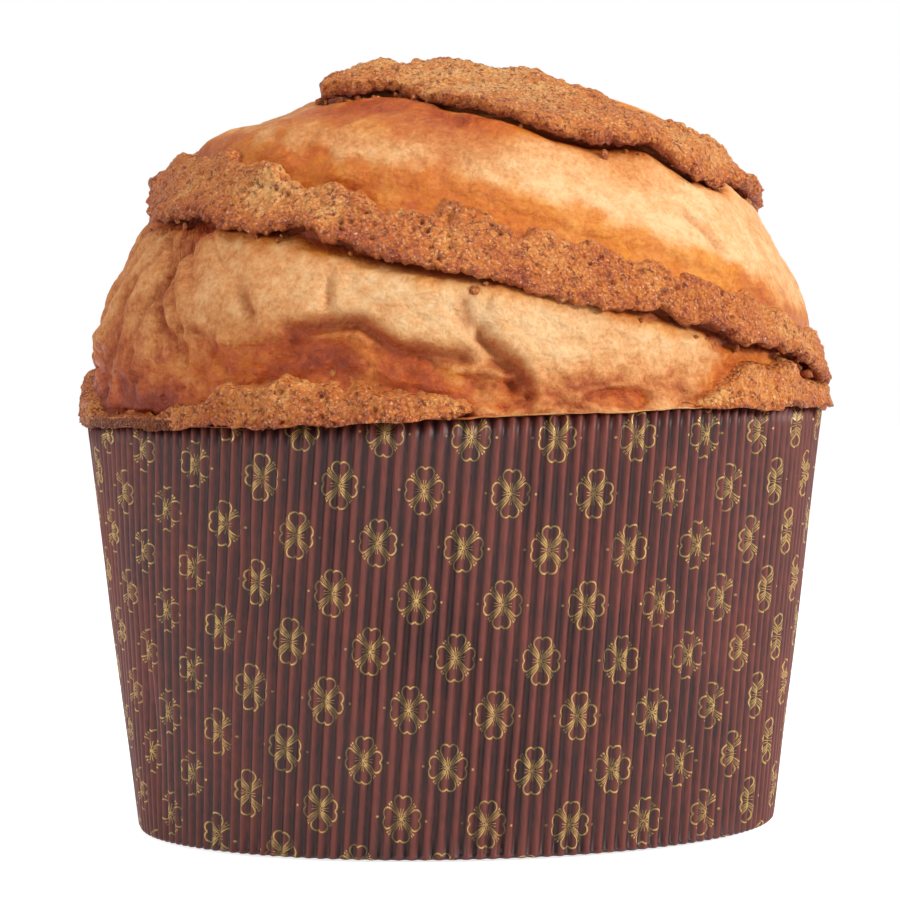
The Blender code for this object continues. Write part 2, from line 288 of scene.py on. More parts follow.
skin = {
    "segments": 480,
    "rings": 200,
    "domeShare": 0.88,      # share of the rows that lie on the dome
    "frontDensity": 0.42,   # how closely the columns crowd towards the front
    # share of the way down the dome, and the elevation there
    "rows": ((0, 0.10, 1), (90, 70, -2.95)),
    "armEnd": 7,            # degrees over which an arm's end fades
    # millimetres of skin to a degree, across at the rim and down
    "degree": (1.5, 1.42),
    # all creases: length of the faded end in mm, how much fades, then factors on width, depth and step
    "crease": {
        "end": 4, "fade": 0.9, "width": 1.15, "depth": 2.0, "step": 0.85, "reach": 3.2, "start": 0.8,
        "darkDepth": 1.2,
    },
    # crease: depth mm, width mm, how much the skin beyond it stands lower, mm, then its points
    "creases": (
        (1.5, 1.5, 1.6, ((-55, 33), (-56.7, 29.8), (-57.9, 27.7), (-59.5, 25.5), (-63.1, 22.9),
                         (-68.4, 19.3), (-70.5, 16.5))),
        (1.6, 1.4, 1.8, ((-47, 30), (-48.9, 26.9), (-50.3, 24.7), (-51.9, 22.5), (-52.1, 19.6),
                         (-54.2, 17.9), (-56.6, 15.0), (-59.2, 11.8))),
        (0.9, 1.1, 0.5, ((-52.3, 19.4), (-52.3, 16.0), (-49.9, 12.7), (-45.4, 9.5))),
        (0.9, 1.0, 0.4, ((-34.7, 19.6), (-33.0, 16.4), (-31.5, 14.3), (-31.4, 12.3))),
        (0.9, 1.2, 0.5, ((-38.3, 12.5), (-38.8, 9.6), (-40.2, 7.4))),
        (0.7, 1.0, 0.3, ((-45.6, 13.7), (-40.9, 11.3), (-38.8, 9.9))),
        (0.7, 1.0, 0.4, ((-48.2, 14.4), (-45.3, 11.5), (-45.2, 8.6), (-44.8, 5.5))),
        (0.5, 1.0, 0.4, ((-65.4, 21.8), (-68.1, 17.1), (-72.1, 14.2))),
        (0.7, 0.9, 0.3, ((-62, 20), (-65, 14), (-69, 8), (-70, 3))),
        (0.6, 0.9, 0.3, ((-57, 14), (-59, 8), (-58, 2))),
        (0.6, 0.9, 0.3, ((-75, 20), (-79, 12), (-83, 5))),
        (1.2, 1.5, 1.2, ((-27, 11), (-17.5, 12.6), (-13.7, 12.6), (-11.2, 10.5), (-8.3, 8.6), (-5.5, 8.3),
                         (-2.7, 7.2), (4, 6.5))),
        (1.4, 1.4, 1.0, ((4.7, 12.7), (3.9, 9.9), (6.0, 8.0), (9.3, 4.9), (10.2, 2.8), (9.9, 0.3))),
        (0.7, 1.5, 0.2, ((1.3, 17.6), (1.6, 12.7), (3.9, 10.1))),
        (0.5, 1.0, 0.2, ((-19.4, 21.3), (-18.4, 13.2))),
        (1.0, 1.3, 0.5, ((4.3, 7.0), (7.9, 4.6), (9.2, 0.3), (9.9, -0.3))),
        (0.5, 1.3, 0.2, ((-8, 56), (0, 53), (4, 49))),
        (0.5, 1.2, 0.2, ((44, 33), (49, 27), (50, 23))),
        (0.5, 1.5, 0.3, ((150, 20), (162, 12), (168, 3))),
        (0.7, 1.4, 0.5, ((185, 40), (192, 34), (205, 30))),
        (0.8, 1.4, 0.6, ((120, 26), (131, 17), (134, 8))),
        (0.6, 1.5, 0.4, ((215, 30), (222, 20), (236, 12))),
    ),
    # patch: azimuth, elevation, half width, half height, browning
    "brown": (
        (-50, 1, 26, 9, 0.24), (-40, 9, 13, 6, 0.14), (-66, 6, 16, 9, 0.20), (-26, 8, 12, 5, 0.18),
        (-14, 7, 9, 4, 0.16), (2, 3, 10, 5, 0.22), (22, 0, 14, 5, 0.18), (-60, 24, 22, 14, 0.30),
        (20, 46, 44, 14, 0.08), (-25, 57, 28, 8, 0.44), (0, 50, 14, 4, 0.24), (5, 44, 18, 5, 0.14),
        (35, 2, 34, 30, -0.10), (20, 2, 8, 3, 0.2), (-86, 22, 16, 24, 0.20), (36, 3, 6, 4, 0.22),
        (95, 20, 18, 8, 0.2), (150, 4, 34, 9, 0.40), (205, 2, 30, 7, 0.45), (240, 26, 20, 8, 0.25),
    ),
    # where the pale skin has torn and shows the wet layer below
    "torn": (
        (-52, 1, 24, 8, 1.0), (-30, 6, 16, 5, 1.0), (-12, 4.5, 12, 4, 1.0), (3, 1, 10, 4, 0.9),
        (24, -1, 12, 3, 0.6), (-80, 5, 12, 8, 0.7), (150, 5, 30, 6, 0.9), (208, 3, 30, 6, 1.0),
        (245, 16, 16, 5, 0.6),
    ),
    "glaze": (
        (-26, 8, 13, 4, 0.7), (-13, 6, 8, 4, 0.7), (0, 4, 8, 4, 0.5), (-24, 56, 34, 8, 1.7),
        (10, 48, 18, 4, 0.8), (-50, 4, 20, 8, 0.5), (-26, 25, 9, 4, 0.35), (35, 40, 10, 3, 0.5),
        (8, 0, 6, 3, 0.5), (150, 10, 24, 5, 0.5), (210, 6, 24, 5, 0.6), (120, 30, 16, 4, 0.5),
    ),
    # beside an arm, in metres: the bed under it, the gutter at its lower edge, the swelling past that
    "bed": (0.0009, 1.5),
    "gutter": (0.0012, 0.6, 1.5),
    "swelling": (0.0012, 0.5, 3.5, 9),
    # fringes of an arm, in degrees: unevenness, reach, how far in under the arm, fade
    "shadow": (0.5, 1.7, 3.5, 2),
    "stain": (2.2, 5.2, 12, 3),
    "seep": (1.6, 4.8, 3, 2),
    "fringeGlaze": (1.2, 0.85),
    "fringeBrown": (0.18, 0.12),
    # pleats fan down the left side: the place they spring from, where they show, mm to a degree
    "fanFrom": (-56, 40),
    "fanMiddle": -68,
    "fanHalf": 26,
    "fanLow": (1, 8),
    "fanHigh": (38, 8),
    "fanDegree": (1.41, 1.42),
    "fanScale": (0.030, 0.00022),
    "fanWander": (0.014, 61, 0.0018),
    # noise: size in metres, layers, salt
    "noise": {
        "browning": (0.018, 3, 5), "ragged": (0.007, 3, 40), "torn": (0.011, 4, 44), "lumps": (0.0048, 3, 46),
        "wetBrown": (0.006, 3, 52), "broad": (0.022, 2, 3), "small": (0.005, 3, 9), "nearRim": (0.004, 2, 14),
        "hang": (0.006, 2, 77),
    },
    # furrows: size in metres, layers, salt, sharpness, then depth in metres
    "furrows": {
        "pleat": (0.0064, 2, 60, 0.30, 0.0022), "finePleat": (0.0028, 2, 66, 0.40, 0.0007),
        "wrinkle": (0.0110, 3, 73, 0.26, 0.0011), "fineWrinkle": (0.0042, 2, 76, 0.42, 0.00042),
        "wet": (0.0048, 2, 49, 0.4, 0.0009),
    },
    "squeeze": (1, 1, 1.8),
    "squeezeWander": (0.010, 72, 0.0016),
    "wrinkleSpread": (0.030, 71, 1.2, 0.45),
    "lowDown": (16, 14),
    # the torn edge: level, softness, lip height, depth of the wet layer, its lumps
    "tornLevel": 0.50,
    "tornSoft": 0.16,
    "tornLip": (0.20, 0.25, 0.0005),
    "tornDepth": 0.0006,
    "lumpHeight": 0.00060,
    "softHeights": {"broad": 0.0007, "small": 0.00020, "nearRim": 0.0004, "hang": 0.0004},
    # how dark it bakes: plain skin, its unevenness, then what the rim adds; hollows, folds and fine wrinkles
    # add painted shade
    "brownPlain": 0.15,
    "brownUneven": 0.13,
    "paintedShadeBrownHollows": 0.30,
    "paintedShadeBrownFolds": 0.26,
    "paintedShadeBrownFineWrinkles": 0.08,
    "brownRim": 0.16,
    "brownInside": (0.32, 0.12, 0.6),
    "paintedShadeDarkHollows": 0.55,
    "glazeUneven": (0.006, 8, 0.9, 0.4),
    "glazeTorn": (0.75, 0.35),
    "brownTorn": (0.02, 0.26),
    "tornUneven": 0.30,
    "rimReach": (6, 8),
    # below the dome: share of the way down, radius, height over the rim
    "turnIn": (
        (0.05, 0.0863, 0.0003), (0.10, 0.0860, 0.0000), (0.15, 0.0857, 0.0003), (0.22, 0.0849, 0.0004),
        (0.30, 0.0834, 0.0003), (0.36, 0.0831, -0.0020),
    ),
    "footHeight": 0.0031,
    "footCorner": 0.004,
    "wallGap": 0.0019,
    "hangShare": 0.12,
    "lipShare": 0.16,
}


def creaseRelief(azimuth, elevation):
    # creases and overlaps, worked out on the dome rolled flat in millimetres
    cut = skin["crease"]
    relief = np.zeros(len(azimuth))
    hollow = np.zeros(len(azimuth))
    for depth, width, step, line in skin["creases"]:
        scaleX = skin["degree"][0] * math.cos(math.radians(line[len(line) // 2][1]))
        scaleY = skin["degree"][1]
        offset = ((azimuth - line[0][0] + 180) % 360) - 180 + line[0][0]
        x, y = offset * scaleX, elevation * scaleY
        best = np.full(len(azimuth), 1e9)
        side = np.zeros(len(azimuth))
        for (a0, e0), (a1, e1) in zip(line, line[1:]):
            x0, y0, x1, y1 = a0 * scaleX, e0 * scaleY, a1 * scaleX, e1 * scaleY
            lengthSquared = (x1 - x0) ** 2 + (y1 - y0) ** 2
            along = np.clip(((x - x0) * (x1 - x0) + (y - y0) * (y1 - y0)) / lengthSquared, 0, 1)
            gap = np.hypot(x - x0 - along * (x1 - x0), y - y0 - along * (y1 - y0))
            closer = gap < best
            best = np.where(closer, gap, best)
            side = np.where(closer, np.sign((x1 - x0) * (y - y0) - (y1 - y0) * (x - x0)), side)
        ends = np.zeros(len(azimuth))
        for az, el in (line[-1], line[0]):
            ends = np.maximum(ends, smooth(1 - np.hypot(x - az * scaleX, y - el * scaleY) / cut["end"]))
        fade = 1 - cut["fade"] * ends
        groove = np.exp(-((best / width / cut["width"]) ** 2))
        relief -= groove * depth * cut["depth"] * fade
        beyond = np.exp(-best / (cut["reach"] * width)) * smooth(best / (cut["start"] * width))
        relief += cut["step"] * step * fade * side * beyond
        # the hollow marks where the crease gets painted shade
        hollow = np.maximum(hollow, groove * fade * min(1.0, depth / cut["darkDepth"]))
    return relief / 1000, hollow


def furrows(points, size, layers, salt, sharpness):
    # narrow valleys between rounded swellings: 1 in a valley, 0 away from it
    return np.exp(-np.abs(layeredNoise(points, size, layers, salt)) / sharpness)


def patches(azimuth, elevation, table):
    total = np.zeros(len(azimuth))
    for az, el, wide, high, amount in table:
        offset = (azimuth - az + 180) % 360 - 180
        total += amount * np.exp(-((offset / wide) ** 2 + ((elevation - el) / high) ** 2))
    return total


def fringe(distance, ragged, spread):
    # 1 at an arm's edge, fading away from it and ended under the arm
    unevenness, reach, inward, fade = spread
    return smooth(1 - (distance + unevenness * ragged) / reach) * smooth((distance + inward) / fade)


def besideArms(azimuth, elevation, ragged):
    # beside each arm the skin dips and swells, browns and takes up syrup, and below its lower edge it gets a
    # painted shadow
    bulge, dark, glaze, brown = np.zeros((4, len(azimuth)))
    bed, bedFade = skin["bed"]
    gutter, gutterShift, gutterWidth = skin["gutter"]
    swelling, swellStart, swellRise, swellFade = skin["swelling"]
    for name in arms:
        for turn in (-360, 0, 360):
            ends, upper, lower = armHere(name, azimuth, turn)
            above = elevation - upper
            below = lower - elevation
            bulge -= bed * smooth(-above / bedFade) * smooth(-below / bedFade) * ends
            bulge -= gutter * np.exp(-(((below + gutterShift) / gutterWidth) ** 2)) * ends
            past = smooth((below - swellStart) / swellRise) * np.exp(-np.maximum(below, 0) / swellFade)
            bulge += swelling * past * ends
            # painted shadow below the arm's lower edge
            dark = np.maximum(dark, fringe(below, ragged, skin["shadow"]) * ends)
            stain = fringe(above, ragged, skin["stain"]) * ends
            seep = fringe(below, ragged, skin["seep"]) * ends
            glaze += stain * skin["fringeGlaze"][0] + seep * skin["fringeGlaze"][1]
            brown += stain * skin["fringeBrown"][0] + seep * skin["fringeBrown"][1]
    return bulge, dark, glaze, brown


def leftFan(azimuth, elevation, base):
    # the skin rolled flat round the place its pleats spring from, and where those pleats show
    (low, lowFade), (high, highFade) = skin["fanLow"], skin["fanHigh"]
    shown = np.exp(-(((azimuth - skin["fanMiddle"]) / skin["fanHalf"]) ** 4))
    shown = shown * smooth((high - elevation) / highFade) * smooth((elevation - low) / lowFade)
    flatX = (azimuth - skin["fanFrom"][0]) * skin["fanDegree"][0]
    flatY = (elevation - skin["fanFrom"][1]) * skin["fanDegree"][1]
    size, salt, wander = skin["fanWander"]
    turned = np.arctan2(flatX, -flatY) * skin["fanScale"][0] + softNoise(base, size, salt) * wander
    outward = np.hypot(flatX, flatY) * skin["fanScale"][1]
    return np.stack([turned, outward, azimuth * 0], axis=1), shown


def insideCase(azimuth, drop):
    # below the dome the loaf turns in over the rim and goes down inside the case
    shares, radii, heights = (np.array(column) for column in zip(*skin["turnIn"]))
    foot = skin["footHeight"]
    slope = (case["rimRadius"] - case["baseRadius"]) / caseTop
    footRadius = case["baseRadius"] + slope * 0.003 - skin["wallGap"]
    downTo = (0, 0.55, 0.70, 1)
    deepShare = (drop - shares[-1]) / (1 - shares[-1])
    deepRadius = np.interp(deepShare, downTo, (radii[-1], footRadius, footRadius - skin["footCorner"], 0))
    deepHeight = np.interp(deepShare, downTo, (caseTop + heights[-1], foot + skin["footCorner"], foot, foot))
    deep = drop > shares[-1]
    radius = np.where(deep, deepRadius, np.interp(drop, shares, radii))
    height = np.where(deep, deepHeight, np.interp(drop, shares, caseTop + heights) + rimSag(azimuth))
    angle = np.radians(azimuth)
    x = radius * np.sin(angle) + dome["lean"] * (height - dome["centreHeight"])
    return np.stack([x, -radius * np.cos(angle), height], axis=1)


def makeSkin():
    print("skin of the loaf")
    piece = addPrimitive(
        "loafSkin", bpy.ops.mesh.primitive_uv_sphere_add,
        segments=skin["segments"], ring_count=skin["rings"], radius=1.0,
    )
    ball = pointsOf(piece)
    down = np.arccos(np.clip(ball[:, 2], -1, 1)) / math.pi
    roundAngle = np.arctan2(ball[:, 0], -ball[:, 1])
    azimuth = np.degrees(roundAngle - skin["frontDensity"] * np.sin(roundAngle))
    share = skin["domeShare"]
    elevation = np.interp(down / share, *skin["rows"])
    base = onDome(azimuth, elevation, 0.0)
    noise = {name: layeredNoise(base, *settings) for name, settings in skin["noise"].items()}
    depth = {name: settings[4] for name, settings in skin["furrows"].items()}

    def cutAt(points, name):
        return furrows(points, *skin["furrows"][name][:4])

    relief, hollow = creaseRelief(azimuth, elevation)
    bulge, dark, glaze, brown = besideArms(azimuth, elevation, noise["ragged"])
    # painted shade: the dark channel holds the shadow under the arms and the creases' hollows, which are
    # browned as painted shade too
    dark = np.maximum(dark, hollow * skin["paintedShadeDarkHollows"])
    brown = brown + skin["brownPlain"] + patches(azimuth, elevation, skin["brown"])
    brown = brown + skin["brownUneven"] * noise["browning"] + hollow * skin["paintedShadeBrownHollows"]
    size, salt, plain, uneven = skin["glazeUneven"]
    glaze = glaze + patches(azimuth, elevation, skin["glaze"]) * (plain + uneven * softNoise(base, size, salt))

    fan, leftSide = leftFan(azimuth, elevation, base)
    pleat, finePleat = cutAt(fan, "pleat"), cutAt(fan, "finePleat")
    relief -= (pleat * depth["pleat"] + finePleat * depth["finePleat"]) * leftSide
    # finer wrinkles in patches all over, flatter and longer towards the rim
    size, salt, gain, level = skin["wrinkleSpread"]
    spread = smooth(softNoise(base, size, salt) * gain + level)
    size, salt, wander = skin["squeezeWander"]
    squeezed = base * np.array(skin["squeeze"]) + softNoise(base, size, salt)[:, None] * wander
    wrinkle, fine = cutAt(squeezed, "wrinkle"), cutAt(squeezed, "fineWrinkle")
    lowDown = smooth((skin["lowDown"][0] - elevation) / skin["lowDown"][1])
    relief -= wrinkle * depth["wrinkle"] * spread * (0.55 + lowDown)
    relief -= fine * depth["fineWrinkle"] * (0.4 + 1.2 * lowDown)
    # the torn edge of the pale skin and the lumpy wet layer under it
    edge = patches(azimuth, elevation, skin["torn"]) + skin["tornUneven"] * noise["torn"]
    torn = smooth((edge - skin["tornLevel"]) / skin["tornSoft"])
    lipStart, lipSoft, lipHeight = skin["tornLip"]
    relief += lipHeight * smooth((edge - lipStart) / lipSoft) * (1 - torn) - skin["tornDepth"] * torn
    relief += torn * (noise["lumps"] * skin["lumpHeight"] - cutAt(base, "wet") * depth["wet"])
    plain, uneven = skin["glazeTorn"]
    glaze = np.maximum(glaze, torn * (plain + uneven * noise["lumps"]))
    folds = np.maximum(pleat * leftSide, wrinkle * spread * (0.35 + 0.65 * lowDown))
    plain, uneven = skin["brownTorn"]
    brown = brown + torn * (plain + uneven * noise["wetBrown"])
    # painted shade browns the valleys of the folds and fine wrinkles
    brown = brown + skin["paintedShadeBrownFolds"] * folds + skin["paintedShadeBrownFineWrinkles"] * fine * lowDown
    heights = skin["softHeights"]
    nearRim = smooth((skin["rimReach"][0] - elevation) / skin["rimReach"][1])
    soft = noise["broad"] * heights["broad"] + noise["small"] * heights["small"]
    soft += noise["nearRim"] * heights["nearRim"] * nearRim

    onTop = down <= share + 0.0001
    drop = np.clip((down - share) / (1 - share), 0, 1)
    points = onDome(azimuth, elevation, (relief + bulge + soft) * onTop)
    points[:, 2] += rimFollow(azimuth, elevation)
    lower = insideCase(azimuth, drop)
    lower[:, 2] += np.where(drop < skin["hangShare"], noise["hang"] * heights["hang"], 0)
    movePoints(piece, np.where(onTop[:, None], points, lower))
    inEditMode(piece, mergeDoubles)
    plain, uneven, deepInside = skin["brownInside"]
    hidden = np.where(drop < skin["lipShare"], plain + uneven * noise["ragged"], deepInside)
    brown = np.where(onTop, brown + skin["brownRim"] * nearRim, hidden)
    # the bake colour holds browning, glaze and painted shade
    storeColour(piece, "bakeGlazeShade", (brown, glaze, dark))
    storeColour(piece, "fold", (fan[:, 0], fan[:, 1], leftSide * onTop))
    smoothAll(piece)
    return piece


crust = {
    "spacing": 0.00042,
    "sectionRows": {"capCrust": 78, "bandCrust": 60, "rimCrust": 44},
    # shares of the section that are its top and its lip, the rest being its back
    "topShare": 0.80,
    "lipShare": 0.10,
    "lipOut": 0.0007,
    "feather": 0.30,        # share of the breadth over which the upper edge rises
    "endTaper": 0.008,
    "buried": 0.0030,
    "backBuried": 0.0042,
    "backTurn": 0.4,
    "sole": 0.0006,
    "fullBreadth": 0.018,
    # unevenness of the edges in degrees, and the bites out of the lower one
    "upperRagged": 1.9,
    "lowerRagged": 1.25,
    "lowerFine": 0.35,
    "biteDepth": (0.75, 0.5),
    # noise: size in metres, layers, salt
    "noise": {
        "lower": (0.015, 4, 70), "lowerFine": (0.0022, 2, 67), "upper": (0.010, 5, 80), "rag": (0.010, 5, 90),
        "lift": (0.012, 2, 95), "hang": (0.005, 2, 99), "toast": (0.018, 3, 51), "lumps": (0.0075, 3, 11),
    },
    # grains: size in metres, salt
    "grains": {"crumb": (0.0017, 23), "pit": (0.0022, 31), "bite": (0.0036, 64), "clump": (0.0019, 97)},
    # heights in metres
    "lumpHeight": 0.00055,
    "crumbHeight": (0.00080, 0.00045),
    "clumpHeight": (0.0013, 0.0009),
    "pitDepth": 0.0011,
    "pitShare": 0.50,
    "pitWidth": 0.42,
    "hang": (-0.0003, 0.0007),
    # how near the rim the topping keeps out of the paper, and the radius it keeps to
    "keepOut": (0.0009, 0.0864),
    "toast": {"plain": 0.40, "uneven": 0.40, "crumb": 0.35, "lowerEdge": 0.45, "crownPaler": 0.30},
}


def unevenness(points, name):
    return layeredNoise(points, *crust["noise"][name])


def crumbRelief(points):
    # height of the crumbs, where the pits are, and each crumb's own lot
    near, lot = grains(points, *crust["grains"]["crumb"])
    hole, holeLot = grains(points, *crust["grains"]["pit"])
    rounded, uneven = crust["crumbHeight"]
    pit = smooth(1 - hole / crust["pitWidth"]) * (0.4 + holeLot * 0.6)
    pit = np.where(holeLot > crust["pitShare"], pit, 0)
    relief = unevenness(points, "lumps") * crust["lumpHeight"]
    relief = relief + (0.50 - near) * rounded + (lot - 0.5) * uneven
    return relief - pit * crust["pitDepth"], pit, lot


def makeCrust(name):
    print("baked topping", name)
    table = np.array(arms[name])
    middle = (np.minimum(table[:, 1], 88) + table[:, 2]) / 2
    fine = np.linspace(table[0, 0], table[-1, 0], 2000)
    level = np.radians(np.minimum(np.interp(fine, table[:, 0], middle), 62))
    stepLength = np.radians(fine[1] - fine[0]) * dome["radius"] * np.cos(level)
    along = np.concatenate([[0], np.cumsum(stepLength[1:])])
    piece = addPrimitive(
        name, bpy.ops.mesh.primitive_grid_add, size=1.0,
        x_subdivisions=int(along[-1] / crust["spacing"]), y_subdivisions=crust["sectionRows"][name],
    )
    flat = pointsOf(piece)
    across = 0.5 - flat[:, 1]
    travel = (flat[:, 0] + 0.5) * along[-1]
    azimuth = np.interp(travel, along, fine)
    taper = smooth(np.minimum(travel, along[-1] - travel) / crust["endTaper"])
    upper, lower, thick, lift = (np.interp(azimuth, table[:, 0], table[:, column]) for column in (1, 2, 3, 4))
    thick, lift = thick / 1000, lift / 1000

    # ragged edges, the same all through the section
    key = onDome(azimuth, lower, 0.0)
    topKey = onDome(azimuth, np.minimum(upper, 89), 0.0)
    bite, biteLot = grains(key, *crust["grains"]["bite"])
    biteNear, biteOwn = crust["biteDepth"]
    lower = lower + crust["lowerRagged"] * unevenness(key, "lower") + biteNear * (bite - 0.5)
    lower = lower + biteOwn * (biteLot - 0.5) + crust["lowerFine"] * unevenness(key, "lowerFine")
    upper = upper + crust["upperRagged"] * unevenness(topKey, "upper")
    centre = (upper + lower) / 2
    upper = centre + (upper - centre) * taper
    lower = centre + (lower - centre) * taper

    # the section runs down the top, round the lip and up the back
    top, lipEnd = crust["topShare"], crust["topShare"] + crust["lipShare"]
    share = np.clip(across / top, 0, 1)
    curl = np.clip((across - top) / crust["lipShare"], 0, 1) * math.pi
    back = np.clip((across - lipEnd) / (1 - lipEnd), 0, 1)
    onLip = (across > top) & (across <= lipEnd)
    onBack = across > lipEnd
    degree = 180 / math.pi / dome["radius"]
    elevation = upper + (lower - upper) * share - np.sin(curl) * crust["lipOut"] * degree * taper
    elevation = elevation + (upper - lower) * back
    base = onDome(azimuth, elevation, 0.0)
    rag = unevenness(base, "rag")
    breadth = np.clip((upper - lower) / degree / crust["fullBreadth"], 0.15, 1)
    rise = smooth((share - 0.07 + 0.24 * rag * breadth) / crust["feather"])
    plate = (thick * (0.76 + 0.20 * rag) + crust["buried"]) * rise * taper - crust["buried"]
    lifted = lift * smooth((share - 0.55) / 0.45) ** 1.5 * (0.8 + 0.5 * unevenness(key, "lift")) * taper
    sole = lifted * 0.75 - crust["sole"]
    inward = smooth(back / crust["backTurn"])
    out = np.where(onLip, sole + (plate + lifted - sole) * (1 + np.cos(curl)) / 2, plate + lifted)
    out = np.where(onBack, sole * (1 - inward) - crust["backBuried"] * inward, out)

    # crumbs and pits, with a rougher lip
    clump, clumpLot = grains(onDome(azimuth, elevation, out), *crust["grains"]["clump"])
    rounded, uneven = crust["clumpHeight"]
    nearEdge = np.where(onLip, np.sin(curl) ** 0.5, np.where(onBack, 0, smooth((share - 0.90) / 0.10)))
    bumpy = ((0.5 - clump) * rounded + (clumpLot - 0.5) * uneven) * nearEdge * taper
    elevation = elevation - bumpy * degree
    relief, pit, lot = crumbRelief(base)
    out = out + relief * np.where(onBack, 0.7 * (1 - inward), 1) * rise * taper
    points = onDome(azimuth, elevation, out)
    points[:, 2] += rimFollow(azimuth, elevation)
    # nothing reaches into the wall of the case
    near, keptRadius = crust["keepOut"]
    outside = np.hypot(points[:, 0], points[:, 1])
    low = (points[:, 2] < caseTop + near) & (outside > 0.001)
    points[low, :2] *= (np.maximum(outside, keptRadius) / np.maximum(outside, 0.001))[low][:, None]
    hang, hangUneven = crust["hang"]
    lowest = caseTop + rimSag(azimuth) + hang + hangUneven * unevenness(key, "hang")
    points[:, 2] = np.maximum(points[:, 2], lowest)
    movePoints(piece, points)

    # painted shade on the underside: the lip and back take a darker colour, less so near the rim
    under = np.where(onBack, 1, np.where(onLip, smooth((curl - 0.8) / 2.0), 0))
    under = under * (1 - 0.75 * smooth((3 - elevation) / 4))
    amount = crust["toast"]
    toast = amount["plain"] + amount["uneven"] * unevenness(base, "toast") + amount["crumb"] * (lot - 0.5)
    toast = toast + amount["lowerEdge"] * smooth(share * 4 - 3)
    if name == "capCrust":
        toast = toast - amount["crownPaler"] * smooth((elevation - 36) / 8)
    # the grain colour holds the pits, painted dark as shade, the painted underside shade and the toast
    storeColour(piece, "grain", (1 - pit, under, toast))
    inEditMode(piece, mergeDoubles, normalsOut)
    smoothAll(piece)
    return piece


case = {
    "rimRadius": 0.0853,
    "baseRadius": 0.0733,
    "corner": 0.0014,
    "hemInner": 0.058,
    "hemLift": 0.0002,
    "flutePitch": 0.00295,
    "fluteDepth": 0.0011,
    "columnsPerFlute": 6,
    "wallRows": 20,
    "turnRows": 5,
    "hemRows": 4,
    "paper": 0.00028,
    "middle": 34.0,         # azimuth of the middle of the sheet
    "overlap": 6.0,
    "lap": (1.5, 0.0011),   # the outer end of the sheet lies over the inner one: degrees, metres
    "waver": (0.008, 21, 0.05, 0.22),
    "dents": (0.045, 2, 33, 0.0005),
    "ownDepth": 0.00022,
    # pinched places: azimuth, height, half width in degrees, half height, depth
    "pinches": (
        (-34, 0.060, 2.2, 0.012, 0.0012), (36, 0.063, 1.8, 0.010, 0.0008),
        (-62, 0.030, 2.0, 0.014, 0.0009), (118, 0.05, 2.4, 0.015, 0.0012),
        (196, 0.04, 2.4, 0.015, 0.0010), (8, 0.018, 2.4, 0.009, 0.0006),
    ),
}


def flatFan():
    # the wall as a flat fan: its slant, the share of a full turn it takes, its outer radius,
    # and the length that goes round the foot
    taper = case["rimRadius"] - case["baseRadius"]
    slope = math.hypot(caseTop - case["corner"], taper)
    ratio = taper / slope
    return slope, ratio, case["rimRadius"] / ratio, case["corner"] * math.pi / 2


def rollUp(flatX, flatY):
    # a place on the flat fan of paper, rolled into the case
    slope, ratio, rimDistance, turn = flatFan()
    corner = case["corner"]
    azimuth = np.degrees(np.arctan2(flatX, flatY)) / ratio + case["middle"]
    travel = rimDistance - np.hypot(flatX, flatY)
    onWall = np.clip(travel / slope, 0, 1)
    onTurn = np.clip((travel - slope) / turn, 0, 1)
    onHem = np.clip(travel - slope - turn, 0, None)
    radius = case["rimRadius"] + (case["baseRadius"] - case["rimRadius"]) * onWall
    radius = radius - corner * (1 - np.cos(onTurn * math.pi / 2)) - onHem
    height = caseTop + (corner - caseTop) * onWall - corner * np.sin(onTurn * math.pi / 2)
    angle = np.radians(azimuth)
    # flutes, with the small unevenness of pressed paper
    phase = flatX / case["flutePitch"]
    number = np.floor(phase + 0.5).astype(np.int64)
    own = lotOf(number, number * 0, number * 0, 5) - 0.5
    spot = np.stack([radius * np.sin(angle), -radius * np.cos(angle), height], axis=1)
    size, salt, sideways, deeper = case["waver"]
    waver = softNoise(spot * np.array([1, 1, 0.35]), size, salt)
    wave = 0.5 - 0.5 * np.cos((phase + sideways * waver) * 2 * math.pi)
    depth = case["fluteDepth"] * (1 + deeper * waver) * (1 - 0.72 * onTurn)
    size, layers, salt, dentDepth = case["dents"]
    dent = layeredNoise(spot, size, layers, salt) * dentDepth + own * case["ownDepth"] * (1 - onTurn)
    inward = wave * depth - dent * (1 - onTurn)
    for az, level, wide, high, amount in case["pinches"]:
        offset = (azimuth - az + 180) % 360 - 180
        inward = inward + amount * np.exp(-((offset / wide) ** 2 + ((height - level) / high) ** 2))
    lapDegrees, lapHeight = case["lap"]
    lap = smooth((azimuth - case["middle"] - 178) / lapDegrees) * lapHeight * (1 - 0.8 * onTurn)
    radius = radius - inward * (1 - onTurn * 0.9) + lap
    height = height + inward * onTurn * 0.5 + rimSag(azimuth) * smooth(height / caseTop * 1.6 - 0.6)
    height = height + case["hemLift"] * onTurn
    x = radius * np.sin(angle) + dome["lean"] * (height - dome["centreHeight"])
    return np.stack([x, -radius * np.cos(angle), height], axis=1)


